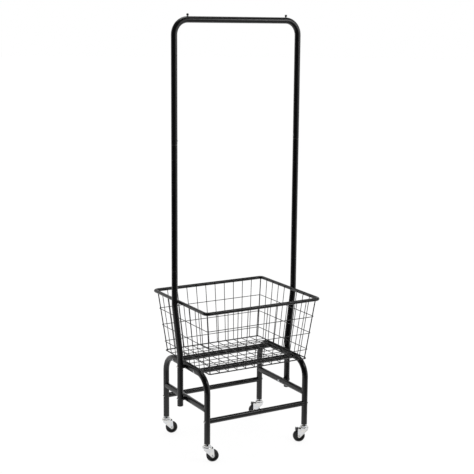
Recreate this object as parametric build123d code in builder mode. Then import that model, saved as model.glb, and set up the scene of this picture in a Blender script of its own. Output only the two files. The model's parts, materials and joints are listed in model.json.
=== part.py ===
from build123d import *
import os
from math import atan2, cos, degrees, radians, sin, sqrt

# Rolling laundry cart: a welded wire basket rests on a tube frame on four casters, and a hanging rack stands
# over it. Millimetres. X runs along the cart's length, Y across it, Z up. The origin is on the floor, under
# the middle of the frame. Left is -X and front is -Y. The two right-hand casters have brakes.

# ---------------------------------------------------------------- tubes and wire
frame_tube = 25.0           # outside diameter of side frames, rungs, poles and hanging bar
frame_wall = 1.2
cope_trim = 1.5             # a rung's thin tips end this far short of the legs' axes
rail_tube = 22.0            # outside diameter of the rails that join the side frames
rail_wall = 1.0
rim_bar = 14.0              # basket rim tube
rim_wall = 1.0
edge_wire = 5.0             # wire round the basket floor
corner_wire = 4.6           # upright rod in each basket corner
mesh_wire = 3.0             # wall and floor wires
weld_sink = 0.3             # how far two welded wires sink into each other
rest_gap = 0.3              # between the basket and what it stands on, or lifts past

# ---------------------------------------------------------------- frame
frame_length = 468.0        # leg axis to leg axis, along X
frame_width = 368.0         # leg axis to leg axis, along Y
frame_top = 353.5           # axis of the side frames' top bars above the floor
frame_bend = 72.0           # bend radius of the side frames
rung_height = 216.0
lower_rail_height = 169.0
basket_rail_inset = 18.5    # rail under the basket, in from the end of the top bar's bend

# ---------------------------------------------------------------- basket
floor_setback = 2.5         # floor edge wire stands this far inside the top bars' axes
floor_overhang = 12.0       # floor edge wire stands this far outside the legs' axes, front and back
flare_length = 34.5         # rim overhang at each end
flare_width = 33.5          # rim overhang at front and back
basket_depth = 258.5        # floor edge wire to rim, centre to centre
top_ring_drop = 76.0        # highest wire round the walls, below the rim
low_ring_rise = 39.5        # lowest one, above the floor edge wire
ring_corner = 10.0          # corner radius of those wires
ring_tail = 3.0             # straight end of a long wall's wire past its corner
wires_long = 11             # spaces between upright wires, front and back walls
wires_short = 9             # spaces on the end walls
rim_seam = 0.2              # butt gap where the rim tube's ends meet, at the back

# ---------------------------------------------------------------- hanging rack
saddle = 2.0                # thinnest part of the saddle between pole and side frame
saddle_width = 16.0
saddle_grip = 3.0           # how far a saddle reaches round each tube
pole_foot = 185.5           # lower end of the poles
pole_bend = 160.0           # bend radius where a pole steps outwards
step_rise = 44.0            # from the top bar's axis to the start of the outward step
step_drop = 12.0            # from the rim's axis down to the end of that step
lower_joint = 757.0         # where lower and middle poles meet
upper_joint = 1268.0        # where middle poles and hanging bar meet
bar_height = 1755.5         # axis of the hanging bar
bar_bend = 59.0
joint_gap = 0.6             # line between two tube ends
tube_lip = 1.0              # rounding of the tube ends at a joint
sleeve_length = 80.0
sleeve_wall = 1.2
sleeve_play = 0.1           # radial, between a joint's sleeve and the poles
stop_ball = 10.0
stop_stem = 4.0
stop_collar = 6.4
stop_collar_height = 0.8
stop_collar_gap = 0.3       # between the collar and the bar's crown
stop_reach = 2.0            # stem's end below the bar's wall
stop_rise = 6.2             # from the bar's crown to the centre of the stop's ball

# ---------------------------------------------------------------- fasteners
bolt = 6.0
bolt_play = 0.2             # radial, of a bolt in a plain hole
bolt_head = 11.0
bolt_head_height = 3.0
head_edge = 0.3             # straight side of a button head, as a share of its height
socket_share = 0.2          # radius of its hexagon socket, as a share of its diameter
socket_depth = 0.7          # depth of the socket, as a share of its height
nut_across = 10.0
nut_height = 5.0
bolt_end = 2.0              # bolt past its nut
screw = 3.9
screw_head = 7.5
screw_head_height = 2.2
screw_reach = 8.0
screw_rise = 16.0           # of a joint's screw above the joint
plug_length = 18.0          # threaded plug in a rail's end
plug_inset = 1.5            # plug's face behind the leg's near side
cap_flange = 2.5
cap_length = 14.0
cap_wall = 1.5
cap_floor = 1.0
cap_edge = 1.3              # bevel round the cap's lower edge

# ---------------------------------------------------------------- casters
wheel_diameter = 50.4
wheel_width = 18.0
hub_diameter = 15.0
hub_taper = 1.0             # hub's growth towards the wheel's web
web_thickness = 7.0
tread_depth = 7.0           # tread's radial depth, outside the dished sides
dish_edge = 1.5             # bevel where the dish meets the tread's side
tread_round = 4.0           # rounding of the tread's shoulders, down the side
tread_shoulder = 4.5        # the same, across the tread
wheel_lead = 22.0           # axle behind the swivel axis
caster_turn = -20.0         # degrees that each caster is turned off the cart's length
axle = 6.0
axle_play = 0.08            # radial, of the axle in the wheel
axle_head = 9.5
axle_head_height = 1.6
axle_head_edge = 0.6        # height of the head's straight side
axle_dimple = 4.0
axle_dimple_depth = 1.1
hub_play = 0.3              # between the hub's ends and the fork
fork_gap = 20.0             # between the fork's cheeks
fork_sheet = 1.5
fork_front = 15.0           # fork crown in front of the swivel axis
fork_back = 26.0            # fork crown behind it
brake_fork_back = 29.0      # the same on a caster with a brake
fork_side = 5.4             # height of the crown's sides
fork_boss = 6.4             # radius of a cheek round the axle
fork_panel = 0.4            # depth of the pressed panel in each cheek
fork_border = 3.0           # flat border round that panel
fork_over = 4.9             # crown's underside above the wheel
race_sheet = 2.0
race_gap = 0.6              # radial, between the race's edge and the cup's skirt
race_web = 1.0              # how far the race overhangs the fork's crown
ball = 3.4
ball_count = 14
ball_play = 0.05
ball_circle = 32.2          # pitch diameter of the bearing balls
cup_sheet = 1.6
cup_dome = 31.0
cup_flange = 39.0
cup_rise = 8.0              # dome above the flange
cup_round = 2.0             # bevel round the dome
cup_edge = 0.8              # bevel round the flange
skirt_sheet = 1.2
skirt_gap = 1.2             # skirt's lower edge below the race's top
pin_play = 0.08             # radial, of the fork on the kingpin
kingpin = 8.0
kingpin_head = 13.0
kingpin_head_height = 2.0
kingpin_gap = 0.2           # between the kingpin's head and the crown
collar_across = 13.0
collar_height = 5.0
stem = 8.0
stem_length = 24.0
socket_flange = 2.0
socket_length = 24.0

# ---------------------------------------------------------------- brake pedals
brake_pin = 3.0
brake_pin_play = 0.06       # radial
brake_pin_back = 3.5        # pin behind the axle
brake_pin_over = 5.6        # pin above the wheel
brake_pin_end = 0.6         # pin past the fork
brake_ear = 3.6             # radius of the fork round the brake's pin
brake_knuckle = 4.2         # radius of the pedal round its pin
brake_shoe_gap = 1.8        # shoe off the tread when the brake is off
brake_heel = 58.0           # degrees above level at which the shoe ends, seen from the axle
brake_lip = 2.2             # thickness of the pedal at its heel
brake_width = 15.0
brake_tip_back = 14.5       # pedal's tip behind the axle
brake_tip_over = 13.0       # pedal's tip above the wheel
brake_tip_drop = 2.8        # tip above the pedal's flat top

# ---------------------------------------------------------------- worked out from the sizes above
leg_x = frame_length / 2
leg_y = frame_width / 2
basket_rail_spread = frame_width - 2 * (frame_bend + basket_rail_inset)
tube_r = frame_tube / 2
rail_r = rail_tube / 2
mesh_r = mesh_wire / 2

axle_height = wheel_diameter / 2
crown_under = wheel_diameter + fork_over
crown_top = crown_under + fork_sheet
race_top = crown_top + race_sheet
groove_r = ball / 2 + ball_play
groove_depth = 0.45
ball_height = race_top - groove_depth + groove_r
flange_under = ball_height + groove_r - groove_depth
flange_top = flange_under + cup_sheet
dome_top = flange_top + cup_rise
caster_height = dome_top + collar_height
leg_end = caster_height + socket_flange

floor_x = leg_x - floor_setback
floor_y = leg_y + floor_overhang
edge_r = edge_wire / 2
edge_height = frame_top + sqrt((tube_r + edge_r) ** 2 - floor_setback**2) + rest_gap
rim_height = edge_height + basket_depth
ring_heights = (edge_height + low_ring_rise, (edge_height + low_ring_rise + rim_height - top_ring_drop) / 2,
                rim_height - top_ring_drop)
rim_x = floor_x + flare_length
rim_y = floor_y + flare_width
rim_r = rim_bar / 2
rim_inset = rim_r + mesh_r - weld_sink
edge_inset = edge_r + mesh_r - weld_sink
ring_out = mesh_wire - weld_sink
floor_layer = (mesh_wire - weld_sink) / 2
corner_r = corner_wire / 2
corner_reach = ring_corner - (ring_corner - mesh_r - corner_r + weld_sink) / sqrt(2)
rim_corner_inset = rim_inset - ring_out + corner_reach
edge_corner_inset = edge_inset - ring_out + corner_reach

pole_low_x = leg_x + frame_tube + saddle
pole_high_x = rim_x + rim_r + rest_gap + tube_r
step_low = frame_top + step_rise
step_high = rim_height - step_drop
screw_height = upper_joint + screw_rise
low_screw_height = lower_joint + screw_rise

os.makedirs("parts", exist_ok=True)


def save(piece, name):
    """Labels a finished sub-part and writes its STEP file."""
    piece.part.label = name
    export_step(piece.part, f"parts/{name}.step")


def add_rod(start, end, diameter, mode=Mode.ADD):
    """Adds a straight round rod between two points to the sub-part being built."""
    run = Vector(end) - Vector(start)
    with BuildSketch(Plane(origin=start, z_dir=run)) as section:
        Circle(diameter / 2)
    extrude(section.sketch, amount=run.length, mode=mode)


def add_bent(points, bend, diameter, wall=0.0, closed=False):
    """Adds a bent round bar, or a tube when a wall is given, to the sub-part being built."""
    with BuildLine() as route:
        FilletPolyline(*points, radius=bend, close=closed)
    with BuildSketch(Plane(origin=route.line @ 0, z_dir=route.line % 0)) as section:
        Circle(diameter / 2)
        if wall:
            Circle(diameter / 2 - wall, mode=Mode.SUBTRACT)
    sweep(section.sketch, path=route.line)


def add_turned(place, points):
    """Adds the solid that an outline of (radius, height) points gives about the plane's normal."""
    with BuildSketch(Plane(place.origin, x_dir=place.x_dir, z_dir=-place.y_dir)) as outline:
        with BuildLine():
            Polyline(*points, close=True)
        make_face()
    revolve(outline.sketch, axis=Axis(place.origin, place.z_dir))


def add_button_bolt(seat, shank, reach, head, height):
    """Adds a domed socket-head bolt whose head stands on the plane and whose shank runs back from it."""
    head_flat = head / 4
    with BuildSketch(Plane(seat.origin, x_dir=seat.x_dir, z_dir=-seat.y_dir)) as outline:
        with BuildLine():
            Polyline((0, height), (0, -reach), (shank / 2, -reach), (shank / 2, 0), (head / 2, 0))
            Line((head / 2, 0), (head / 2, height * head_edge))
            ThreePointArc((head / 2, height * head_edge), (head * 0.42, height * 0.78), (head_flat, height))
            Line((head_flat, height), (0, height))
        make_face()
    revolve(outline.sketch, axis=Axis(seat.origin, seat.z_dir))
    with BuildSketch(seat.offset(height)) as socket:
        RegularPolygon(head * socket_share, 6)
    extrude(socket.sketch, amount=-height * socket_depth, mode=Mode.SUBTRACT)


# ================================================================ side frames, rungs and rails
def side_frame(side, name):
    """An upside-down U of tube, with holes for the rail bolts and for the pole's upper bolt."""
    x = side * leg_x
    hole = bolt + 2 * bolt_play
    corners = [(x, -leg_y, leg_end), (x, -leg_y, frame_top), (x, leg_y, frame_top), (x, leg_y, leg_end)]
    with BuildPart() as frame:
        add_bent(corners, frame_bend, frame_tube, frame_wall)
        for y in (-leg_y, leg_y):
            inside = (x - tube_r, y, lower_rail_height)
            add_rod(inside, (x + tube_r, y, lower_rail_height), hole, Mode.SUBTRACT)
        for y in (-basket_rail_spread / 2, 0, basket_rail_spread / 2):
            add_rod((x - tube_r, y, frame_top), (x + tube_r, y, frame_top), hole, Mode.SUBTRACT)
    save(frame, name)


def side_rung(side, name):
    """A tube welded between the legs, its ends cut to fit round them."""
    x = side * leg_x
    with BuildPart() as rung:
        with BuildSketch(Plane((x, cope_trim - leg_y, rung_height), x_dir=(1, 0, 0), z_dir=(0, 1, 0))):
            Circle(tube_r)
            Circle(tube_r - frame_wall, mode=Mode.SUBTRACT)
        extrude(amount=frame_width - 2 * cope_trim)
        for y in (-leg_y, leg_y):
            below = (x, y, rung_height - frame_tube)
            add_rod(below, (x, y, rung_height + frame_tube), frame_tube, Mode.SUBTRACT)
        hole = bolt + 2 * bolt_play
        add_rod((x - tube_r, 0, rung_height), (x + tube_r, 0, rung_height), hole, Mode.SUBTRACT)
    save(rung, name)


def rail(y, z, across, name):
    """A tube bolted between the side frames, its ends cut to fit round the tubes that it meets.

    across is the direction of those tubes: up for the legs, along Y for the top bars."""
    with BuildPart() as tube:
        with BuildSketch(Plane((-leg_x, y, z), x_dir=(0, 1, 0), z_dir=(1, 0, 0))):
            Circle(rail_r)
            Circle(rail_r - rail_wall, mode=Mode.SUBTRACT)
        extrude(amount=frame_length)
        for x in (-leg_x, leg_x):
            middle = Vector(x, y, z)
            add_rod(middle - across * frame_tube, middle + across * frame_tube, frame_tube, Mode.SUBTRACT)
    save(tube, name)


def rail_seats():
    """Every rail end, as a plane at the side frame's outer face that looks outwards."""
    ends = [(y, lower_rail_height) for y in (-leg_y, leg_y)]
    ends += [(y, frame_top) for y in (-basket_rail_spread / 2, basket_rail_spread / 2)]
    for side in (-1, 1):
        for y, z in ends:
            yield Plane((side * (leg_x + tube_r), y, z), x_dir=(0, 1, 0), z_dir=(side, 0, 0))


def rail_fasteners():
    """A threaded plug in each rail end, and the bolt that goes through the side frame into it."""
    plug_face = frame_tube + plug_inset
    with BuildPart() as plugs:
        for seat in rail_seats():
            with BuildSketch(seat.offset(-plug_face)):
                Circle(rail_r - rail_wall)
                Circle(bolt / 2, mode=Mode.SUBTRACT)
            extrude(amount=-plug_length)
    save(plugs, "rail_plugs")
    with BuildPart() as bolts:
        for seat in rail_seats():
            add_button_bolt(seat, bolt, plug_face + plug_length, bolt_head, bolt_head_height)
    save(bolts, "rail_bolts")


def leg_sockets():
    """The plastic sockets in the leg ends that hold the casters' stems."""
    with BuildPart() as sockets:
        for x in (-leg_x, leg_x):
            for y in (-leg_y, leg_y):
                inner = stem / 2
                outer = tube_r - frame_wall
                flange = caster_height
                top = leg_end + socket_length
                outline = [(inner, flange), (tube_r, flange), (tube_r, leg_end), (outer, leg_end)]
                outline += [(outer, top), (inner, top)]
                add_turned(Plane((x, y, 0)), outline)
    save(sockets, "leg_sockets")


# ================================================================ hanging rack
def round_tube_ends(piece, heights):
    """Rounds the outer edges of the upright tube ends at the given heights."""
    ends = [e for e in piece.edges().filter_by(GeomType.CIRCLE) if abs(e.radius - tube_r) < 1e-6]
    ends = [e for e in ends if any(abs(e.center().Z - h) < 1e-6 for h in heights)]
    fillet(ends, tube_lip)


def pole_lower(side, name):
    """The pole's lower tube, which steps outwards beside the basket, with its bolt and screw holes."""
    low_x = side * pole_low_x
    high_x = side * pole_high_x
    top = lower_joint - joint_gap / 2
    route = [(low_x, 0, pole_foot), (low_x, 0, step_low), (high_x, 0, step_high), (high_x, 0, top)]
    with BuildPart() as pole:
        add_bent(route, pole_bend, frame_tube, frame_wall)
        for z in (rung_height, frame_top):
            hole = bolt + 2 * bolt_play
            add_rod((low_x - tube_r, 0, z), (low_x + tube_r, 0, z), hole, Mode.SUBTRACT)
        round_tube_ends(pole, (top,))
    save(pole, name)


def pole_middle(side, name):
    """The straight tube over the lower pole, with a screw hole at its foot."""
    x = side * pole_high_x
    bottom = lower_joint + joint_gap / 2
    top = upper_joint - joint_gap / 2
    with BuildPart() as pole:
        with BuildSketch(Plane((x, 0, bottom))):
            Circle(tube_r)
            Circle(tube_r - frame_wall, mode=Mode.SUBTRACT)
        extrude(amount=top - bottom)
        add_rod((x, 0, low_screw_height), (x, tube_r, low_screw_height), screw, Mode.SUBTRACT)
        round_tube_ends(pole, (bottom, top))
    save(pole, name)


def hanging_bar():
    """The wide U over both poles, with a screw hole near each foot and a hole for each stop."""
    x = pole_high_x
    foot = upper_joint + joint_gap / 2
    route = [(-x, 0, foot), (-x, 0, bar_height), (x, 0, bar_height), (x, 0, foot)]
    with BuildPart() as bar:
        add_bent(route, bar_bend, frame_tube, frame_wall)
        for side in (-1, 1):
            inside = side * (x - tube_r)
            add_rod((side * x, 0, screw_height), (inside, 0, screw_height), screw, Mode.SUBTRACT)
            stop_x = side * (x - bar_bend)
            add_rod((stop_x, 0, bar_height), (stop_x, 0, bar_height + tube_r), stop_stem, Mode.SUBTRACT)
        round_tube_ends(bar, (foot,))
    save(bar, "hanging_bar")


def hanger_stop(side, name):
    """A ball on a stem that keeps hangers off the bend."""
    place = Plane((side * (pole_high_x - bar_bend), 0, bar_height + tube_r))
    with BuildPart() as stop:
        with BuildSketch(place.offset(-frame_wall - stop_reach)):
            Circle(stop_stem / 2)
        extrude(amount=frame_wall + stop_reach + stop_rise)
        with BuildSketch(place.offset(stop_collar_gap)):
            Circle(stop_collar / 2)
        extrude(amount=stop_collar_height)
        with Locations(place.offset(stop_rise)):
            Sphere(stop_ball / 2)
    save(stop, name)


def joint_sleeves():
    """The tubes inside the pole joints, with their screw holes."""
    outer = tube_r - frame_wall - sleeve_play
    with BuildPart() as sleeves:
        for side in (-1, 1):
            for height in (lower_joint, upper_joint):
                with BuildSketch(Plane((side * pole_high_x, 0, height - sleeve_length / 2))):
                    Circle(outer)
                    Circle(outer - sleeve_wall, mode=Mode.SUBTRACT)
                extrude(amount=sleeve_length)
        for seat in joint_seats():
            add_rod(seat.origin, seat.origin - seat.z_dir * tube_r, screw, Mode.SUBTRACT)
    save(sleeves, "joint_sleeves")


def joint_seats():
    """Where the joint screws' heads sit: at the back below, where the basket lifts past, and inside above."""
    for side in (-1, 1):
        x = side * pole_high_x
        yield Plane((x, tube_r, low_screw_height), x_dir=(1, 0, 0), z_dir=(0, 1, 0))
        yield Plane((x - side * tube_r, 0, screw_height), x_dir=(0, 1, 0), z_dir=(-side, 0, 0))


def joint_screws():
    with BuildPart() as screws:
        for seat in joint_seats():
            add_button_bolt(seat, screw, screw_reach, screw_head, screw_head_height)
    save(screws, "joint_screws")


def pole_cap(side, name):
    """The plastic plug in a pole's open lower end."""
    place = Plane((side * pole_low_x, 0, pole_foot))
    inner = tube_r - frame_wall
    hollow = inner - cap_wall
    with BuildPart() as cap:
        outline = [(0, -cap_flange), (tube_r - cap_edge, -cap_flange), (tube_r, cap_edge - cap_flange)]
        outline += [(tube_r, 0), (inner, 0), (inner, cap_length)]
        outline += [(hollow, cap_length), (hollow, cap_floor), (0, cap_floor)]
        add_turned(place, outline)
    save(cap, name)


def pole_fixings():
    """Saddles between pole and side frame, and the bolts and nuts that clamp them at rung and top bar."""
    seats = []
    for side in (-1, 1):
        for height in (rung_height, frame_top):
            seats.append((side, height))
    hole = bolt + 2 * bolt_play
    with BuildPart() as saddles:
        for side, height in seats:
            middle = side * (leg_x + tube_r + saddle / 2)
            inner = side * leg_x
            outer = side * pole_low_x
            thick = saddle + 2 * saddle_grip
            with Locations((middle, 0, height)):
                Box(thick, saddle_width, saddle_width)
            add_rod((inner, -saddle_width, height), (inner, saddle_width, height), frame_tube, Mode.SUBTRACT)
            below = (outer, 0, height - saddle_width)
            add_rod(below, (outer, 0, height + saddle_width), frame_tube, Mode.SUBTRACT)
            add_rod((middle - thick, 0, height), (middle + thick, 0, height), hole, Mode.SUBTRACT)
    save(saddles, "pole_saddles")
    grip = 2 * frame_tube + saddle
    with BuildPart() as bolts:
        for side, height in seats:
            head = Plane((side * (pole_low_x + tube_r), 0, height), x_dir=(0, 1, 0), z_dir=(side, 0, 0))
            add_button_bolt(head, bolt, grip + nut_height + bolt_end, bolt_head, bolt_head_height)
    save(bolts, "pole_bolts")
    with BuildPart() as nuts:
        for side, height in seats:
            face = Plane((side * (leg_x - tube_r), 0, height), x_dir=(0, 1, 0), z_dir=(-side, 0, 0))
            with BuildSketch(face):
                RegularPolygon(nut_across / 2, 6, major_radius=False)
                Circle(bolt / 2, mode=Mode.SUBTRACT)
            extrude(amount=nut_height)
    save(nuts, "pole_nuts")


# ================================================================ basket
def wall_half(height, along_x):
    """Half the basket's size, out to the upright wires' centres, at a height."""
    share = (height - edge_height) / basket_depth
    if along_x:
        return (floor_x - edge_inset) * (1 - share) + (rim_x - rim_inset) * share
    return (floor_y - edge_inset) * (1 - share) + (rim_y - rim_inset) * share


def bar_corner(inset, bar_r):
    """Corner radius of a ring of bar that a corner rod, this far inside its centre line, nests in."""
    nest = (bar_r + corner_r - weld_sink) / sqrt(2)
    return (inset - nest) / (1 - 1 / sqrt(2))


def basket_rim():
    """The rim: one tube bent round, its ends butted together at the middle of the back."""
    half = rim_seam / 2
    corners = [(half, rim_y), (rim_x, rim_y), (rim_x, -rim_y)]
    corners += [(-rim_x, -rim_y), (-rim_x, rim_y), (-half, rim_y)]
    points = [(x, y, rim_height) for x, y in corners]
    with BuildPart() as rim:
        add_bent(points, bar_corner(rim_corner_inset, rim_r), rim_bar, rim_wall)
    save(rim, "basket_rim")


def long_wall(side, name):
    """Front or back wall: upright wires, and three wires outside them that turn the corners."""
    bottom = edge_height + floor_layer + mesh_r - weld_sink
    top = rim_height + rim_r / 2
    low_x = floor_x - edge_corner_inset
    high_x = rim_x - rim_corner_inset
    with BuildPart() as wall:
        for number in range(1, wires_long):
            share = 2 * number / wires_long - 1
            start = upright_point(bottom, low_x * share, high_x * share)
            end = upright_point(top, low_x * share, high_x * share)
            foot = (start, side * wall_half(bottom, False), bottom)
            add_rod(foot, (end, side * wall_half(top, False), top), mesh_wire)
        for height in ring_heights:
            x = wall_half(height, True) + ring_out
            y = side * (wall_half(height, False) + ring_out)
            end = y - side * (ring_corner + ring_tail)
            points = [(-x, end, height), (-x, y, height), (x, y, height), (x, end, height)]
            add_bent(points, ring_corner, mesh_wire)
    save(wall, name)


def upright_point(height, at_floor, at_rim):
    """Where a leaning wire passes a height, between its places at the floor edge and at the rim."""
    share = (height - edge_height) / basket_depth
    return at_floor * (1 - share) + at_rim * share


def short_wall(side, name):
    """End wall: upright wires, and three wires outside them that meet the long walls' wires."""
    bottom = edge_height - floor_layer + mesh_r - weld_sink
    top = rim_height + rim_r / 2
    low_y = floor_y - edge_corner_inset
    high_y = rim_y - rim_corner_inset
    with BuildPart() as wall:
        for number in range(1, wires_short):
            share = 2 * number / wires_short - 1
            start = upright_point(bottom, low_y * share, high_y * share)
            end = upright_point(top, low_y * share, high_y * share)
            foot = (side * wall_half(bottom, True), start, bottom)
            add_rod(foot, (side * wall_half(top, True), end, top), mesh_wire)
        for height in ring_heights:
            x = side * (wall_half(height, True) + ring_out)
            y = wall_half(height, False) + ring_out - ring_corner - ring_tail
            add_rod((x, -y, height), (x, y, height), mesh_wire)
    save(wall, name)


def corner_rods():
    """The thicker upright rod in each corner, from the floor edge wire to the rim."""
    bottom = edge_height - edge_r / 2
    top = rim_height + rim_r / 2
    with BuildPart() as rods:
        for side_x in (-1, 1):
            for side_y in (-1, 1):
                ends = []
                for height in (bottom, top):
                    x = upright_point(height, floor_x - edge_corner_inset, rim_x - rim_corner_inset)
                    y = upright_point(height, floor_y - edge_corner_inset, rim_y - rim_corner_inset)
                    ends.append((side_x * x, side_y * y, height))
                add_rod(ends[0], ends[1], corner_wire)
    save(rods, "basket_corner_rods")


def basket_floor():
    """The floor: a grid of wires inside a thicker edge wire."""
    low_x = floor_x - edge_corner_inset
    low_y = floor_y - edge_corner_inset
    reach_x = floor_x - edge_r + weld_sink
    reach_y = floor_y - edge_r + weld_sink
    corners = [(floor_x, -floor_y), (floor_x, floor_y), (-floor_x, floor_y), (-floor_x, -floor_y)]
    points = [(x, y, edge_height) for x, y in corners]
    with BuildPart() as floor:
        add_bent(points, bar_corner(edge_corner_inset, edge_r), edge_wire, closed=True)
        for number in range(1, wires_long):
            wire_x = low_x * (2 * number / wires_long - 1)
            height = edge_height + floor_layer
            add_rod((wire_x, -reach_y, height), (wire_x, reach_y, height), mesh_wire)
        for number in range(1, wires_short):
            wire_y = low_y * (2 * number / wires_short - 1)
            height = edge_height - floor_layer
            add_rod((-reach_x, wire_y, height), (reach_x, wire_y, height), mesh_wire)
    save(floor, "basket_floor")


# ================================================================ casters
def caster_stem(place, name):
    """Threaded stem, hexagon collar, and the kingpin that is riveted under the fork's crown."""
    rivet_top = crown_under - kingpin_gap
    with BuildPart() as pin:
        with BuildSketch(place.offset(dome_top)):
            RegularPolygon(collar_across / 2, 6, major_radius=False)
        extrude(amount=collar_height)
        with BuildSketch(place.offset(caster_height)):
            Circle(stem / 2)
        extrude(amount=stem_length)
        with BuildSketch(place.offset(rivet_top - kingpin_head_height)):
            Circle(kingpin_head / 2)
        extrude(amount=kingpin_head_height)
        with BuildSketch(place.offset(rivet_top)):
            Circle(kingpin / 2)
        extrude(amount=dome_top - rivet_top)
    save(pin, name + "_stem")


def caster_cup(place, name):
    """Pressed cup over the bearing balls: dome, flange with a ball groove, and a skirt."""
    dome_r = cup_dome / 2
    flange_r = cup_flange / 2
    inner_r = dome_r - cup_sheet
    skirt_r = flange_r - skirt_sheet
    roof = dome_top - cup_sheet
    skirt_end = race_top - skirt_gap
    hole_r = kingpin / 2
    outline = [(hole_r, roof), (hole_r, dome_top), (dome_r - cup_round, dome_top)]
    outline += [(dome_r, dome_top - cup_round)]
    outline += [(dome_r, flange_top), (flange_r - cup_edge, flange_top), (flange_r, flange_top - cup_edge)]
    outline += [(flange_r, skirt_end), (skirt_r, skirt_end), (skirt_r, flange_under), (inner_r, flange_under)]
    outline += [(inner_r, roof - cup_sheet), (inner_r - cup_sheet, roof)]
    with BuildPart() as cup:
        add_turned(place, outline)
        cut_ball_groove(place)
    save(cup, name + "_cup")


def cut_ball_groove(place):
    """Cuts the groove that the bearing balls run in."""
    with BuildSketch(Plane(place.origin, x_dir=place.x_dir, z_dir=-place.y_dir)) as section:
        with Locations((ball_circle / 2, ball_height)):
            Circle(groove_r)
    revolve(section.sketch, axis=Axis(place.origin, place.z_dir), mode=Mode.SUBTRACT)


def caster_balls(place, name):
    with BuildPart(place.offset(ball_height)) as balls:
        with PolarLocations(ball_circle / 2, ball_count):
            Sphere(ball / 2)
    save(balls, name + "_balls")


def caster_fork(place, name, braked):
    """Pressed fork: two tapered cheeks under a crown, and the lower ball race on top."""
    side = Plane(place.origin, x_dir=place.x_dir, z_dir=-place.y_dir)
    back = brake_fork_back if braked else fork_back
    web_end = race_radius() - race_web
    cheek = fork_gap / 2 + fork_sheet
    with BuildPart() as fork:
        with BuildSketch(side):
            with Locations((wheel_lead, axle_height)):
                Circle(fork_boss)
            with Locations(((back - fork_front) / 2, crown_top - fork_side / 2)):
                Rectangle(back + fork_front, fork_side)
            make_hull()
        extrude(amount=cheek, both=True)
        with BuildSketch(side.offset(-cheek), side.offset(cheek - fork_panel)):
            with Locations((wheel_lead, axle_height)):
                Circle(fork_boss)
            with Locations(((back - fork_front) / 2, crown_top - fork_side / 2)):
                Rectangle(back + fork_front, fork_side)
            make_hull()
            offset(amount=-fork_border)
            with Locations((wheel_lead, axle_height)):
                Circle(fork_boss, mode=Mode.SUBTRACT)
        extrude(amount=fork_panel, mode=Mode.SUBTRACT)
        if braked:
            with BuildSketch(side):
                with Locations((wheel_lead + brake_pin_back, wheel_diameter + brake_pin_over)):
                    Circle(brake_ear)
            extrude(amount=cheek, both=True)
        with BuildSketch(side):
            with Locations((0, crown_under / 2)):
                Rectangle(4 * cup_flange, crown_under)
            with Locations((web_end + cup_flange, crown_under)):
                Rectangle(2 * cup_flange, crown_under)
        extrude(amount=fork_gap / 2, both=True, mode=Mode.SUBTRACT)
        with BuildSketch(place.offset(crown_top)):
            Circle(race_radius())
        extrude(amount=race_sheet)
        with BuildSketch(side):
            with Locations((wheel_lead, axle_height)):
                Circle(axle / 2)
            if braked:
                with Locations((wheel_lead + brake_pin_back, wheel_diameter + brake_pin_over)):
                    Circle(brake_pin / 2)
        extrude(amount=fork_gap, both=True, mode=Mode.SUBTRACT)
        with BuildSketch(place):
            Circle(kingpin / 2 + pin_play)
        extrude(amount=caster_height, mode=Mode.SUBTRACT)
        cut_ball_groove(place)
    save(fork, name + "_fork")


def race_radius():
    """The lower race's radius, clear of the cup's skirt."""
    return cup_flange / 2 - skirt_sheet - race_gap


def caster_axle(place, name):
    """Riveted axle: a pin with a shallow head and a dimple at each end."""
    centre = place.from_local_coords(Vector(wheel_lead, 0, axle_height))
    half = fork_gap / 2 + fork_sheet
    with BuildPart() as rivet:
        with BuildSketch(Plane(centre, x_dir=place.x_dir, z_dir=place.y_dir)):
            Circle(axle / 2)
        extrude(amount=half, both=True)
        for way in (-1, 1):
            face = Plane(centre + place.y_dir * (way * half), x_dir=place.x_dir, z_dir=place.y_dir * way)
            rim = axle_head / 2
            outline = [(0, 0), (rim, 0), (rim, axle_head_edge)]
            outline += [(rim - axle_head_height + axle_head_edge, axle_head_height)]
            outline += [(axle_dimple / 2, axle_head_height), (0, axle_head_height - axle_dimple_depth)]
            add_turned(face, outline)
    save(rivet, name + "_axle")


def caster_wheel(place, name):
    """Moulded wheel with a rounded tread, dished sides and a hub."""
    centre = place.from_local_coords(Vector(wheel_lead, 0, axle_height))
    tread_r = wheel_diameter / 2
    half = wheel_width / 2
    bore_r = axle / 2 + axle_play
    hub_half = fork_gap / 2 - hub_play
    hub_r = hub_diameter / 2
    dish_r = tread_r - tread_depth
    web = web_thickness / 2
    side_z = tread_r - tread_round
    flat = half - tread_shoulder
    turn_y = half - 0.3 * tread_shoulder
    turn_z = tread_r - 0.3 * tread_round
    with BuildPart() as wheel:
        with BuildSketch(Plane(centre, x_dir=place.y_dir, z_dir=place.x_dir)):
            with BuildLine():
                Polyline((-hub_half, bore_r), (hub_half, bore_r), (hub_half, hub_r), (web, hub_r + hub_taper),
                         (web, dish_r - dish_edge), (half, dish_r), (half, side_z))
                ThreePointArc((half, side_z), (turn_y, turn_z), (flat, tread_r))
                Line((flat, tread_r), (-flat, tread_r))
                ThreePointArc((-flat, tread_r), (-turn_y, turn_z), (-half, side_z))
                Polyline((-half, side_z), (-half, dish_r), (-web, dish_r - dish_edge),
                         (-web, hub_r + hub_taper), (-hub_half, hub_r), (-hub_half, bore_r))
            make_face()
        revolve(axis=Axis(centre, place.y_dir))
    save(wheel, name + "_wheel")


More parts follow.
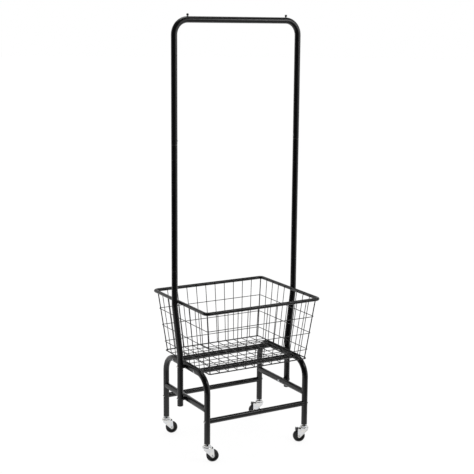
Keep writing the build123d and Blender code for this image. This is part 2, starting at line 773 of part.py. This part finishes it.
def brake_pedal(place, name):
    """Brake lever: a knuckle on its pin, a pointed tip behind it, and a shoe over the tread."""
    side = Plane(place.origin, x_dir=place.x_dir, z_dir=-place.y_dir)
    pin_x = wheel_lead + brake_pin_back
    pin_z = wheel_diameter + brake_pin_over
    shoe_r = wheel_diameter / 2 + brake_shoe_gap
    tip_x = wheel_lead + brake_tip_back
    tip_z = wheel_diameter + brake_tip_over
    top_z = pin_z + brake_knuckle
    lip_r = shoe_r + brake_lip
    heel = radians(brake_heel)
    outline = [(pin_x, top_z), (tip_x - brake_knuckle, top_z), (tip_x, tip_z)]
    outline += [(tip_x, tip_z - brake_tip_drop)]
    outline += [(wheel_lead + lip_r * cos(heel), axle_height + lip_r * sin(heel))]
    outline += [(wheel_lead + shoe_r * cos(heel), axle_height + shoe_r * sin(heel)), (pin_x, pin_z)]
    with BuildPart() as pedal:
        with BuildSketch(side):
            with BuildLine():
                Polyline(*outline, close=True)
            make_face()
            with Locations((pin_x, pin_z)):
                Circle(brake_knuckle)
            with Locations((wheel_lead, axle_height)):
                Circle(shoe_r, mode=Mode.SUBTRACT)
            with Locations((pin_x, pin_z)):
                Circle(brake_pin / 2 + brake_pin_play, mode=Mode.SUBTRACT)
        extrude(amount=brake_width / 2, both=True)
    save(pedal, name + "_brake_pedal")
    centre = place.from_local_coords(Vector(pin_x, 0, pin_z))
    with BuildPart() as pin:
        with BuildSketch(Plane(centre, x_dir=place.x_dir, z_dir=place.y_dir)):
            Circle(brake_pin / 2)
        extrude(amount=fork_gap / 2 + fork_sheet + brake_pin_end, both=True)
    save(pin, name + "_brake_pin")


def caster(side_x, side_y, name, braked):
    """One caster under a leg. Each trails inwards along the cart, turned a little."""
    trail = radians(caster_turn) + (0 if side_x < 0 else radians(180))
    place = Plane((side_x * leg_x, side_y * leg_y, 0), x_dir=(cos(trail), sin(trail), 0), z_dir=(0, 0, 1))
    caster_stem(place, name)
    caster_cup(place, name)
    caster_balls(place, name)
    caster_fork(place, name, braked)
    caster_axle(place, name)
    caster_wheel(place, name)
    if braked:
        brake_pedal(place, name)


# ================================================================ the whole cart
for side, word in ((-1, "left"), (1, "right")):
    side_frame(side, f"side_frame_{word}")
    side_rung(side, f"side_rung_{word}")
    pole_lower(side, f"pole_lower_{word}")
    pole_middle(side, f"pole_middle_{word}")
    pole_cap(side, f"pole_cap_{word}")
    hanger_stop(side, f"hanger_stop_{word}")
    short_wall(side, f"basket_wall_{word}")

for side, word in ((-1, "front"), (1, "back")):
    rail(side * leg_y, lower_rail_height, Vector(0, 0, 1), f"lower_rail_{word}")
    rail(side * basket_rail_spread / 2, frame_top, Vector(0, 1, 0), f"basket_rail_{word}")
    long_wall(side, f"basket_wall_{word}")

for side_y, row in ((-1, "front"), (1, "back")):
    for side_x, word in ((-1, "left"), (1, "right")):
        caster(side_x, side_y, f"caster_{row}_{word}", braked=side_x > 0)

rail_fasteners()
leg_sockets()
pole_fixings()
hanging_bar()
joint_sleeves()
joint_screws()
basket_rim()
corner_rods()
basket_floor()
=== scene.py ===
"""Laundry cart: finishes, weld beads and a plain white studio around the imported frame."""

import json
import math

import bmesh
import bpy
from mathutils import Matrix, Vector

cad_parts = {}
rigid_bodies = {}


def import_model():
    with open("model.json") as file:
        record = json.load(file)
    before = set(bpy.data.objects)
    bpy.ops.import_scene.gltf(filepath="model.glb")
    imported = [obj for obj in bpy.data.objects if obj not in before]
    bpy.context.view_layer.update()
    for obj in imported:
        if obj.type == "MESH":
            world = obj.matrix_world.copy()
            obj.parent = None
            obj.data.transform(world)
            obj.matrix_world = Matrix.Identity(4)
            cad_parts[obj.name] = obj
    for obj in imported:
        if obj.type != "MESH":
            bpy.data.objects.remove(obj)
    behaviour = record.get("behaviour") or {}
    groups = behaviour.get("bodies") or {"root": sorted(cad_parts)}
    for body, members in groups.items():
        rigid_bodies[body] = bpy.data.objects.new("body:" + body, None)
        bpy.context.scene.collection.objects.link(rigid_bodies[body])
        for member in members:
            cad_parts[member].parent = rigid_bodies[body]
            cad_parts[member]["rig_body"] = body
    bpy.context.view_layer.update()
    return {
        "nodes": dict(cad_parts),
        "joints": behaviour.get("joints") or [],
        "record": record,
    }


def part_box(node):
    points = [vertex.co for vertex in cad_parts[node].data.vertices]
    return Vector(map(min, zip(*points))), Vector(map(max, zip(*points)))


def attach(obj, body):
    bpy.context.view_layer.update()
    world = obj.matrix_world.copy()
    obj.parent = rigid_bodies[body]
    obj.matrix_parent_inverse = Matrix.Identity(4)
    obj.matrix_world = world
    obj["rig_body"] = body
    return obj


MM = 0.001

# Camera: how far it stands round the cart, above it and away from it, and what it looks at.
CAMERA_TURN = math.radians(-30.14)
CAMERA_RISE = math.radians(10.8)
CAMERA_ROLL = math.radians(0.48)
CAMERA_DISTANCE = 4.561
CAMERA_AIM_HEIGHT = 0.8726
CAMERA_AIM_SIDE = 0.0035
CAMERA_LENS = 83.54
SENSOR = 36.0

# Nearly all of a noise pattern's values lie between these two.
NOISE_LOW, NOISE_HIGH = 0.35, 0.65

# A colour mix's two colours and its result. Their names are shared with its other sockets.
COLOUR_A, COLOUR_B, COLOUR_MIXED = 6, 7, 2

# Powder coat: its film grows thicker and thinner over this length, and its peel is this deep.
FILM_DRIFT = 90 * MM
PEEL_DEPTH = 0.03 * MM
POLYESTER_IOR = 1.5

# Fillet welds: the bead's half-width, how far it is flattened, and the ripples of its passes.
BEAD = 1.9 * MM
BEAD_FLATNESS = 0.75
BEAD_RIPPLES = 26
BEAD_RIPPLE_HEIGHT = 0.10
BEAD_STEPS, BEAD_CORNERS = 96, 8

# Studio: its floor, the card that gloss sees in its place, and their roundness.
FLOOR_RADIUS = 60.0
CARD_RADIUS = 2.0
CARD_DROP = 2 * MM
DISC_CORNERS = 96
FLOOR_GLOW = 0.88
FLOOR_CLOUD = 0.4
WHITE = "#ffffff"


# ---------------------------------------------------------------- colours and nodes
def srgb(code):
    """An sRGB hex colour as the linear colour that shaders take."""
    parts = [int(code[i : i + 2], 16) / 255 for i in (1, 3, 5)]
    return (*[p / 12.92 if p <= 0.04045 else ((p + 0.055) / 1.055) ** 2.4 for p in parts], 1.0)


def add(tree, kind, inputs=None, **settings):
    """Adds one node: settings are its own values, and inputs are its sockets' values or links."""
    node = tree.nodes.new(kind)
    for name, value in settings.items():
        setattr(node, name, value)
    for key, value in (inputs or {}).items():
        if isinstance(value, bpy.types.NodeSocket):
            tree.links.new(value, node.inputs[key])
        else:
            node.inputs[key].default_value = value
    return node


def cleared_tree(owner):
    """The node tree of a material or world, with nothing in it yet."""
    owner.use_nodes = True
    owner.node_tree.nodes.clear()
    return owner.node_tree


# ---------------------------------------------------------------- finishes
def powder_coat(name, dark, light, roughness, peel):
    """Semi-gloss black polyester powder coat, sprayed and baked over steel.

    It flows into a faint orange peel that softens reflections, and its film is thicker in some
    places than in others, which shifts its tone and gloss a little. Real peel is about 1.5 mm
    across, too fine to show, so peel, the size it is drawn at, is several times coarser. A few
    specks of dust lie on it, drawn at 2.2 mm because real ones wouldn't show.
    """
    speck = 2.2 * MM
    dust_starts, dust_full, most_dust = 0.66, 0.80, 0.01
    smoother, rougher = 0.04, 0.05
    material = bpy.data.materials.new(name)
    tree = cleared_tree(material)
    place = add(tree, "ShaderNodeTexCoord").outputs["Object"]
    film = add(
        tree, "ShaderNodeTexNoise", {"Vector": place, "Scale": 1 / FILM_DRIFT, "Detail": 3.0}
    ).outputs[0]
    peeled = add(
        tree, "ShaderNodeTexNoise", {"Vector": place, "Scale": 1 / peel, "Detail": 1.5}
    ).outputs[0]
    specks = add(
        tree, "ShaderNodeTexNoise", {"Vector": place, "Scale": 1 / speck, "Detail": 1.0}
    ).outputs[0]
    tone = add(
        tree, "ShaderNodeMapRange", {"Value": film, "From Min": NOISE_LOW, "From Max": NOISE_HIGH}
    ).outputs[0]
    gloss = add(
        tree,
        "ShaderNodeMapRange",
        {"Value": tone, "To Min": roughness - smoother, "To Max": roughness + rougher},
    ).outputs[0]
    dust = add(
        tree,
        "ShaderNodeMapRange",
        {"Value": specks, "From Min": dust_starts, "From Max": dust_full, "To Max": most_dust},
    ).outputs[0]
    body = add(
        tree,
        "ShaderNodeMix",
        {"Factor": tone, COLOUR_A: srgb(dark), COLOUR_B: srgb(light)},
        data_type="RGBA",
    ).outputs[COLOUR_MIXED]
    dusted = add(
        tree,
        "ShaderNodeMix",
        {"Factor": dust, COLOUR_A: body, COLOUR_B: srgb("#8b8b89")},
        data_type="RGBA",
    ).outputs[COLOUR_MIXED]
    bumped = add(tree, "ShaderNodeBump", {"Height": peeled, "Distance": PEEL_DEPTH}).outputs[0]
    shader = add(
        tree,
        "ShaderNodeBsdfPrincipled",
        {"Base Color": dusted, "Roughness": gloss, "IOR": POLYESTER_IOR, "Normal": bumped},
    ).outputs[0]
    add(tree, "ShaderNodeOutputMaterial", {"Surface": shader})
    return material


def rubbed_powder_coat(name):
    """The same coat on the bar that hangers slide along.

    Hooks have burnished its crown and left faint lines round it, about 3 mm apart. The bar lies
    along X, and the lines are stretched across it. The peel is drawn coarser than it is, as on
    the other tubes.
    """
    line_gap = 3 * MM
    across_bar = (1, 0.03, 0.03)
    crown_starts, crown_full = 0.35, 0.95
    line_starts, line_full = 0.56, 0.74
    smoothest, roughest = 0.30, 0.38
    burnish = -0.10
    drawn_peel = 6 * MM
    material = bpy.data.materials.new(name)
    tree = cleared_tree(material)
    place = add(tree, "ShaderNodeTexCoord").outputs["Object"]
    normal = add(tree, "ShaderNodeNewGeometry").outputs["Normal"]
    upward = add(tree, "ShaderNodeSeparateXYZ", {0: normal}).outputs["Z"]
    crown = add(
        tree,
        "ShaderNodeMapRange",
        {"Value": upward, "From Min": crown_starts, "From Max": crown_full},
    ).outputs[0]
    film = add(
        tree, "ShaderNodeTexNoise", {"Vector": place, "Scale": 1 / FILM_DRIFT, "Detail": 3.0}
    ).outputs[0]
    stretched = add(
        tree, "ShaderNodeVectorMath", {0: place, 1: across_bar}, operation="MULTIPLY"
    ).outputs[0]
    lines = add(
        tree, "ShaderNodeTexNoise", {"Vector": stretched, "Scale": 1 / line_gap, "Detail": 2.0}
    ).outputs[0]
    scored = add(
        tree, "ShaderNodeMapRange", {"Value": lines, "From Min": line_starts, "From Max": line_full}
    ).outputs[0]
    marks = add(tree, "ShaderNodeMath", {0: scored, 1: crown}, operation="MULTIPLY").outputs[0]
    body = add(
        tree,
        "ShaderNodeMix",
        {"Factor": marks, COLOUR_A: srgb("#060607"), COLOUR_B: srgb("#161617")},
        data_type="RGBA",
    ).outputs[COLOUR_MIXED]
    gloss = add(
        tree,
        "ShaderNodeMapRange",
        {
            "Value": film,
            "From Min": NOISE_LOW,
            "From Max": NOISE_HIGH,
            "To Min": smoothest,
            "To Max": roughest,
        },
    ).outputs[0]
    worn = add(
        tree, "ShaderNodeMath", {0: marks, 1: burnish, 2: gloss}, operation="MULTIPLY_ADD"
    ).outputs[0]
    peeled = add(
        tree, "ShaderNodeTexNoise", {"Vector": place, "Scale": 1 / drawn_peel, "Detail": 1.5}
    ).outputs[0]
    bumped = add(tree, "ShaderNodeBump", {"Height": peeled, "Distance": PEEL_DEPTH}).outputs[0]
    shader = add(
        tree,
        "ShaderNodeBsdfPrincipled",
        {"Base Color": body, "Roughness": worn, "IOR": POLYESTER_IOR, "Normal": bumped},
    ).outputs[0]
    add(tree, "ShaderNodeOutputMaterial", {"Surface": shader})
    return material


def plated_steel(name, tones, grain_size, stretch, roughness, depth):
    """Zinc-plated or bare steel: two close tones and a grain, drawn out along the sheet or tube.

    grain_size is the grain's real size, stretch shrinks the pattern's scale along each axis, the
    grain moves the roughness between its two values, and depth is how deep it is. The tones
    drift over about 14 mm.
    """
    tone_drift = 14 * MM
    material = bpy.data.materials.new(name)
    tree = cleared_tree(material)
    place = add(tree, "ShaderNodeTexCoord").outputs["Object"]
    cloud = add(
        tree, "ShaderNodeTexNoise", {"Vector": place, "Scale": 1 / tone_drift, "Detail": 2.0}
    ).outputs[0]
    drawn = add(
        tree, "ShaderNodeVectorMath", {0: place, 1: stretch}, operation="MULTIPLY"
    ).outputs[0]
    grain = add(
        tree, "ShaderNodeTexNoise", {"Vector": drawn, "Scale": 1 / grain_size, "Detail": 2.5}
    ).outputs[0]
    tone = add(
        tree, "ShaderNodeMapRange", {"Value": cloud, "From Min": NOISE_LOW, "From Max": NOISE_HIGH}
    ).outputs[0]
    body = add(
        tree,
        "ShaderNodeMix",
        {"Factor": tone, COLOUR_A: srgb(tones[0]), COLOUR_B: srgb(tones[1])},
        data_type="RGBA",
    ).outputs[COLOUR_MIXED]
    gloss = add(
        tree,
        "ShaderNodeMapRange",
        {
            "Value": grain,
            "From Min": NOISE_LOW,
            "From Max": NOISE_HIGH,
            "To Min": roughness[0],
            "To Max": roughness[1],
        },
    ).outputs[0]
    bumped = add(tree, "ShaderNodeBump", {"Height": grain, "Distance": depth}).outputs[0]
    shader = add(
        tree,
        "ShaderNodeBsdfPrincipled",
        {"Base Color": body, "Metallic": 1.0, "Roughness": gloss, "Normal": bumped},
    ).outputs[0]
    add(tree, "ShaderNodeOutputMaterial", {"Surface": shader})
    return material


def moulded_polypropylene(name):
    """Black polypropylene from a spark-eroded mould: an even, fine leather-like grain, low gloss.

    The grain is about 0.4 mm across and is drawn at 1.2 mm. Its tone and gloss drift with the
    melt's flow, over about 25 mm.
    """
    drawn_grain = 1.2 * MM
    grain_depth = 0.06 * MM
    flow_drift = 25 * MM
    smoothest, roughest = 0.36, 0.46
    polypropylene_ior = 1.49
    material = bpy.data.materials.new(name)
    tree = cleared_tree(material)
    place = add(tree, "ShaderNodeTexCoord").outputs["Object"]
    cells = add(
        tree,
        "ShaderNodeTexVoronoi",
        {"Vector": place, "Scale": 1 / drawn_grain},
        feature="SMOOTH_F1",
    ).outputs[0]
    flow = add(
        tree, "ShaderNodeTexNoise", {"Vector": place, "Scale": 1 / flow_drift, "Detail": 2.0}
    ).outputs[0]
    tone = add(
        tree, "ShaderNodeMapRange", {"Value": flow, "From Min": NOISE_LOW, "From Max": NOISE_HIGH}
    ).outputs[0]
    body = add(
        tree,
        "ShaderNodeMix",
        {"Factor": tone, COLOUR_A: srgb("#060607"), COLOUR_B: srgb("#0c0c0d")},
        data_type="RGBA",
    ).outputs[COLOUR_MIXED]
    gloss = add(
        tree, "ShaderNodeMapRange", {"Value": tone, "To Min": smoothest, "To Max": roughest}
    ).outputs[0]
    bumped = add(tree, "ShaderNodeBump", {"Height": cells, "Distance": grain_depth}).outputs[0]
    shader = add(
        tree,
        "ShaderNodeBsdfPrincipled",
        {"Base Color": body, "Roughness": gloss, "IOR": polypropylene_ior, "Normal": bumped},
    ).outputs[0]
    add(tree, "ShaderNodeOutputMaterial", {"Surface": shader})
    return material


def moulded_wheel(name, centre, axle, tread):
    """Glossy black moulded wheel.

    The mould was turned on a lathe, so the sides have fine rings about the axle, 0.3 mm apart and
    drawn at 1.6 mm. The tread, from tread metres out, is scuffed duller than the sides by rolling,
    in patches about 4 mm across.
    """
    drawn_ring_gap = 1.6 * MM
    ring_depth = 0.015 * MM
    scuff_size = 4 * MM
    scuff_fade = 0.7 * MM
    side_roughness, scuff_roughness = 0.42, 0.20
    wheel_ior = 1.5
    material = bpy.data.materials.new(name)
    tree = cleared_tree(material)
    place = add(tree, "ShaderNodeTexCoord").outputs["Object"]
    arm = add(
        tree, "ShaderNodeVectorMath", {0: place, 1: tuple(centre)}, operation="SUBTRACT"
    ).outputs[0]
    across = add(
        tree, "ShaderNodeVectorMath", {0: arm, 1: tuple(axle)}, operation="CROSS_PRODUCT"
    ).outputs[0]
    radius = add(
        tree, "ShaderNodeVectorMath", {0: across}, operation="LENGTH"
    ).outputs["Value"]
    turns = add(
        tree, "ShaderNodeMath", {0: radius, 1: math.tau / drawn_ring_gap}, operation="MULTIPLY"
    ).outputs[0]
    rings = add(tree, "ShaderNodeMath", {0: turns}, operation="SINE").outputs[0]
    scuff = add(
        tree, "ShaderNodeTexNoise", {"Vector": place, "Scale": 1 / scuff_size, "Detail": 3.0}
    ).outputs[0]
    worn = add(
        tree,
        "ShaderNodeMapRange",
        {"Value": radius, "From Min": tread, "From Max": tread + scuff_fade},
    ).outputs[0]
    dulled = add(tree, "ShaderNodeMath", {0: scuff, 1: worn}, operation="MULTIPLY").outputs[0]
    body = add(
        tree,
        "ShaderNodeMix",
        {"Factor": dulled, COLOUR_A: srgb("#020203"), COLOUR_B: srgb("#121211")},
        data_type="RGBA",
    ).outputs[COLOUR_MIXED]
    gloss = add(
        tree,
        "ShaderNodeMath",
        {0: dulled, 1: scuff_roughness, 2: side_roughness},
        operation="MULTIPLY_ADD",
    ).outputs[0]
    bumped = add(tree, "ShaderNodeBump", {"Height": rings, "Distance": ring_depth}).outputs[0]
    shader = add(
        tree,
        "ShaderNodeBsdfPrincipled",
        {"Base Color": body, "Roughness": gloss, "IOR": wheel_ior, "Normal": bumped},
    ).outputs[0]
    add(tree, "ShaderNodeOutputMaterial", {"Surface": shader})
    return material


def finish_nodes(frame):
    """Gives every CAD node its finish, and returns the tubes' coat.

    Zinc-plated sheet keeps faint rolling lines about 1 mm apart, headed fasteners show die marks
    about 1.2 mm across, drawn tube has long lines 0.8 mm apart, and balls a smear of grease.
    """
    even = (1.0, 1.0, 1.0)
    tread_edge = 0.8 * MM
    tube_coat = powder_coat(
        "powder_coat_on_tube", dark="#040405", light="#070708", roughness=0.25, peel=7 * MM
    )
    finishes = {
        "powder_coat": tube_coat,
        "basket_wire": powder_coat(
            "powder_coat_on_wire", dark="#050506", light="#080809", roughness=0.30, peel=4 * MM
        ),
        "zinc_plate": plated_steel(
            "bright_zinc_on_pressed_steel",
            tones=("#e2e5ea", "#efede8"),
            grain_size=1.0 * MM,
            stretch=(0.08, 0.08, 1.0),
            roughness=(0.16, 0.28),
            depth=0.02 * MM,
        ),
        "zinc_fastener": plated_steel(
            "bright_zinc_on_headed_steel",
            tones=("#c9ccd1", "#e0dfda"),
            grain_size=1.2 * MM,
            stretch=even,
            roughness=(0.24, 0.38),
            depth=0.04 * MM,
        ),
        "bare_steel": plated_steel(
            "drawn_steel_tube",
            tones=("#8d8f92", "#a9a9a7"),
            grain_size=0.8 * MM,
            stretch=(1.0, 1.0, 0.025),
            roughness=(0.30, 0.45),
            depth=0.02 * MM,
        ),
        "ball_steel": plated_steel(
            "polished_bearing_steel",
            tones=("#a6a49c", "#cfd0d2"),
            grain_size=3.0 * MM,
            stretch=even,
            roughness=(0.08, 0.25),
            depth=0.01 * MM,
        ),
        "black_plastic": moulded_polypropylene("moulded_black_polypropylene"),
    }
    slots = {part["node"]: part["material_slot"] for part in frame["record"]["subparts"]}
    hinges = {joint["child"]: joint for joint in frame["joints"] if joint["type"] == "hinge"}
    for name, node in frame["nodes"].items():
        if name.endswith("_wheel"):
            body = node["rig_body"]
            hinge = hinges[body]
            low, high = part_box(name)
            tread = (high.z - low.z) / 2 - tread_edge
            material = moulded_wheel("moulded_gloss_" + body, hinge["pos_m"], hinge["axis"], tread)
        else:
            material = finishes[slots[name]]
        node.data.materials.clear()
        node.data.materials.append(material)
    bar = frame["nodes"]["hanging_bar"]
    bar.data.materials[0] = rubbed_powder_coat("hanger_rubbed_powder_coat")
    return tube_coat


# ---------------------------------------------------------------- welds
def saddle_bead(made, leg, side, height, tube, inward):
    """A fillet weld round a rung's end, where it meets the leg's wall.

    leg is the leg's place across the cart, side and height are the rung's, tube is the radius of
    both, and inward is +1 or -1 towards the rung. At the leg's widest line the seam runs straight
    up the leg, and its slope isn't used there.
    """
    least_reach, widest = 0.02, 0.05
    rings = []
    for step in range(BEAD_STEPS):
        turn = math.tau * step / BEAD_STEPS
        x, z = math.cos(turn), math.sin(turn)
        reach = max(math.sqrt(max(1 - x * x, 0.0)), least_reach)
        centre = Vector((side + tube * x, leg + inward * tube * reach, height + tube * z))
        off_rung = Vector((x, 0, z))
        off_leg = Vector((x, inward * reach, 0)).normalized()
        out = (off_rung + off_leg).normalized()
        slope = -x / reach if reach > widest else 0.0
        along = Vector((-z, inward * slope * -z, x)).normalized()
        up = along.cross(out).normalized()
        size = BEAD * (1 + BEAD_RIPPLE_HEIGHT * math.sin(BEAD_RIPPLES * turn))
        ring = []
        for corner in range(BEAD_CORNERS):
            angle = math.tau * corner / BEAD_CORNERS
            spoke = out * math.cos(angle) * BEAD_FLATNESS + up * math.sin(angle)
            ring.append(made.verts.new(centre + spoke * size))
        rings.append(ring)
    for step in range(BEAD_STEPS):
        first, second = rings[step], rings[(step + 1) % BEAD_STEPS]
        for corner in range(BEAD_CORNERS):
            after = (corner + 1) % BEAD_CORNERS
            made.faces.new((first[corner], first[after], second[after], second[corner]))


def rung_beads(coat):
    """The four fillet welds on the side frames' rungs."""
    for word in ("left", "right"):
        low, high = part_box("side_rung_" + word)
        frame_low, frame_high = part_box("side_frame_" + word)
        centre = (low + high) / 2
        tube = (high.z - low.z) / 2
        made = bmesh.new()
        for leg, inward in ((frame_low.y + tube, 1), (frame_high.y - tube, -1)):
            saddle_bead(made, leg, centre.x, centre.z, tube, inward)
        mesh = bpy.data.meshes.new("rung_weld_beads_" + word)
        made.to_mesh(mesh)
        made.free()
        for face in mesh.polygons:
            face.use_smooth = True
        mesh.materials.append(coat)
        beads = bpy.data.objects.new("rung_weld_beads_" + word, mesh)
        bpy.context.scene.collection.objects.link(beads)
        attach(beads, "frame")


# ---------------------------------------------------------------- studio
def disc(name, radius, height, material):
    """A broad round sheet on or under the floor line, part of the studio."""
    bpy.ops.mesh.primitive_circle_add(
        vertices=DISC_CORNERS, radius=radius, fill_type="NGON", location=(0, 0, height)
    )
    sheet = bpy.context.object
    sheet.name = name
    sheet.data.materials.append(material)
    return sheet


def studio_floor():
    """A backlit white acrylic floor.

    Nearly all its white is its own light, so shadows on it stay faint.
    """
    material = bpy.data.materials.new("backlit_white_acrylic")
    tree = cleared_tree(material)
    place = add(tree, "ShaderNodeTexCoord").outputs["Object"]
    cloud = add(
        tree, "ShaderNodeTexNoise", {"Vector": place, "Scale": 1 / FLOOR_CLOUD, "Detail": 2.0}
    ).outputs[0]
    white = add(
        tree,
        "ShaderNodeMix",
        {"Factor": cloud, COLOUR_A: srgb("#636363"), COLOUR_B: srgb("#656565")},
        data_type="RGBA",
    ).outputs[COLOUR_MIXED]
    shader = add(
        tree,
        "ShaderNodeBsdfPrincipled",
        {
            "Base Color": white,
            "Roughness": 0.9,
            "Specular IOR Level": 0.0,
            "Emission Color": srgb(WHITE),
            "Emission Strength": FLOOR_GLOW,
        },
    ).outputs[0]
    add(tree, "ShaderNodeOutputMaterial", {"Surface": shader})
    disc("studio_floor", FLOOR_RADIUS, 0, material).visible_glossy = False


def bounce_card():
    """The lit floor near the cart, as gloss sees it: bright under and behind it, dim in front."""
    dim_from, bright_from = -0.85, -0.30
    dim, bright = 0.12, 0.88
    material = bpy.data.materials.new("lit_white_card")
    tree = cleared_tree(material)
    place = add(tree, "ShaderNodeTexCoord").outputs["Object"]
    across = add(tree, "ShaderNodeSeparateXYZ", {0: place}).outputs["Y"]
    strength = add(
        tree,
        "ShaderNodeMapRange",
        {
            "Value": across,
            "From Min": dim_from,
            "From Max": bright_from,
            "To Min": dim,
            "To Max": bright,
        },
    ).outputs[0]
    glow = add(
        tree, "ShaderNodeEmission", {"Color": srgb(WHITE), "Strength": strength}
    ).outputs[0]
    add(tree, "ShaderNodeOutputMaterial", {"Surface": glow})
    card = disc("bounce_card", CARD_RADIUS, -CARD_DROP, material)
    card.visible_camera = False
    card.visible_diffuse = False
    card.visible_shadow = False


def studio_world():
    """White all round for the eye and for matt surfaces.

    Gloss sees a studio instead: a bright sweep behind the cart and to its right, and a dark room
    in front of it and overhead.
    """
    toward_sweep, sweep_starts, sweep_full = (0.50, 0.87, 0.0), -0.10, 0.38
    toward_glow, glow_starts = (0.90, -0.43, 0.0), 0.62
    dark_starts, dark_full = 0.25, 0.75
    dark_room, dark_ceiling = 0.006, 0.25
    world = bpy.data.worlds.new("white_studio")
    bpy.context.scene.world = world
    tree = cleared_tree(world)
    toward = add(tree, "ShaderNodeTexCoord").outputs["Generated"]
    facing = add(
        tree, "ShaderNodeVectorMath", {0: toward, 1: toward_sweep}, operation="DOT_PRODUCT"
    ).outputs["Value"]
    sweep = add(
        tree,
        "ShaderNodeMapRange",
        {"Value": facing, "From Min": sweep_starts, "From Max": sweep_full, "To Min": dark_room},
    ).outputs[0]
    aside = add(
        tree, "ShaderNodeVectorMath", {0: toward, 1: toward_glow}, operation="DOT_PRODUCT"
    ).outputs["Value"]
    glow = add(tree, "ShaderNodeMapRange", {"Value": aside, "From Min": glow_starts}).outputs[0]
    around = add(tree, "ShaderNodeMath", {0: sweep, 1: glow}, operation="MAXIMUM").outputs[0]
    height = add(tree, "ShaderNodeSeparateXYZ", {0: toward}).outputs["Z"]
    above = add(
        tree,
        "ShaderNodeMapRange",
        {
            "Value": height,
            "From Min": dark_starts,
            "From Max": dark_full,
            "To Min": 1.0,
            "To Max": dark_ceiling,
        },
    ).outputs[0]
    seen = add(tree, "ShaderNodeMath", {0: around, 1: above}, operation="MULTIPLY").outputs[0]
    glossy = add(tree, "ShaderNodeLightPath").outputs["Is Glossy Ray"]
    strength = add(tree, "ShaderNodeMix", {"Factor": glossy, "A": 1.0, "B": seen}).outputs[0]
    light = add(
        tree, "ShaderNodeBackground", {"Color": srgb(WHITE), "Strength": strength}
    ).outputs[0]
    add(tree, "ShaderNodeOutputWorld", {"Surface": light})


def softbox(name, place, aim, width, height, power):
    """A rectangular area light that the camera doesn't see."""
    data = bpy.data.lights.new(name, "AREA")
    data.shape = "RECTANGLE"
    data.size = width
    data.size_y = height
    data.energy = power
    lamp = bpy.data.objects.new(name, data)
    lamp.location = place
    lamp.rotation_euler = (Vector(aim) - Vector(place)).to_track_quat("-Z", "Y").to_euler()
    lamp.visible_camera = False
    bpy.context.scene.collection.objects.link(lamp)


def camera():
    """A long lens, a little above the cart and round to its left."""
    right = Vector((math.cos(CAMERA_TURN), math.sin(CAMERA_TURN), 0))
    level = Vector((math.sin(CAMERA_TURN), -math.cos(CAMERA_TURN), 0))
    back = level * math.cos(CAMERA_RISE) + Vector((0, 0, math.sin(CAMERA_RISE)))
    up = back.cross(right)
    place = Vector((0, 0, CAMERA_AIM_HEIGHT)) + back * CAMERA_DISTANCE + right * CAMERA_AIM_SIDE
    side = right * math.cos(CAMERA_ROLL) + up * math.sin(CAMERA_ROLL)
    top = up * math.cos(CAMERA_ROLL) - right * math.sin(CAMERA_ROLL)
    data = bpy.data.cameras.new("studio_camera")
    data.lens = CAMERA_LENS
    data.sensor_width = SENSOR
    seat = bpy.data.objects.new("studio_camera", data)
    turned = Matrix((side, top, back)).transposed().to_4x4()
    seat.matrix_world = Matrix.Translation(place) @ turned
    bpy.context.scene.collection.objects.link(seat)
    bpy.context.scene.camera = seat


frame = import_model()
camera()
rung_beads(finish_nodes(frame))
studio_floor()
bounce_card()
studio_world()
softbox(
    "front_right_softbox",
    place=(1.10, -1.45, 2.07),
    aim=(0, 0, 1.2),
    width=0.7,
    height=0.7,
    power=9,
)
softbox(
    "overhead_softbox",
    place=(0.0, 0.6, 3.6),
    aim=(0, 0, 0.5),
    width=1.4,
    height=1.4,
    power=22,
)
bpy.context.scene.view_settings.view_transform = "Standard"
